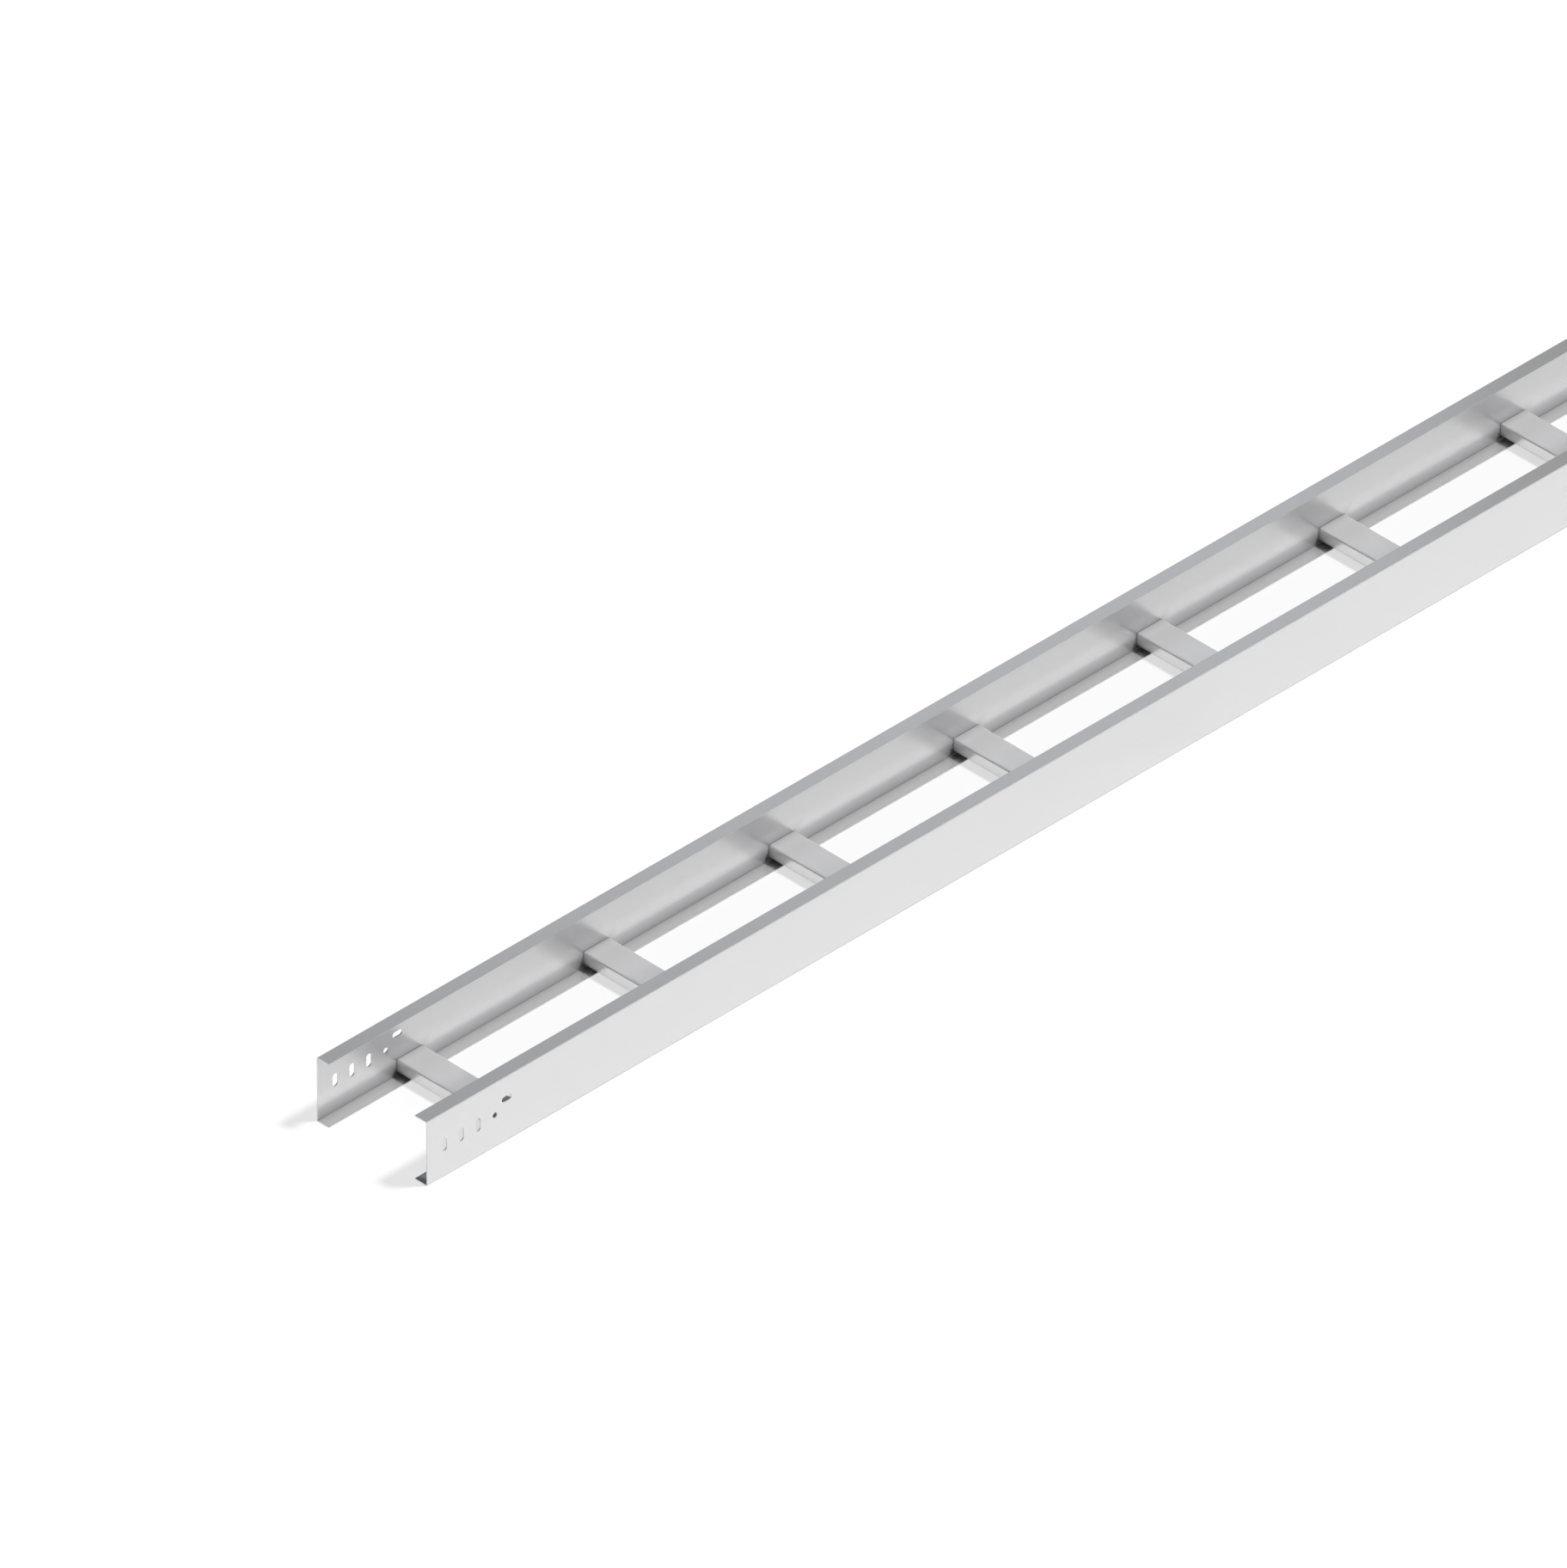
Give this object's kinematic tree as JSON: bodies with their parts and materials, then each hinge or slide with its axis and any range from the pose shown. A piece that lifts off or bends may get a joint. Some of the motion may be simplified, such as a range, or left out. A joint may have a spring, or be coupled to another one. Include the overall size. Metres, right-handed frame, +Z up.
{
  "type": "cable ladder section",
  "caption": "Straight length of galvanised steel cable ladder: two C-shaped side rails joined by channel rungs, slotted at the ends for splice plates.",
  "frame": {"origin": "the middle of the ladder's length and width, at the underside of the rails", "axes": "+X along the ladder, +Y across it to the left rail, +Z up"},
  "size_m": [3, 0.2, 0.1],
  "materials": {
    "galvanised_sheet": "satin"
  },
  "bodies": {
    "root": {"side_rail_left": "galvanised_sheet", "side_rail_right": "galvanised_sheet", "rung_1": "galvanised_sheet", "rung_2": "galvanised_sheet", "rung_3": "galvanised_sheet", "rung_4": "galvanised_sheet", "rung_5": "galvanised_sheet", "rung_6": "galvanised_sheet", "rung_7": "galvanised_sheet", "rung_8": "galvanised_sheet", "rung_9": "galvanised_sheet"}
  },
  "joints": []
}
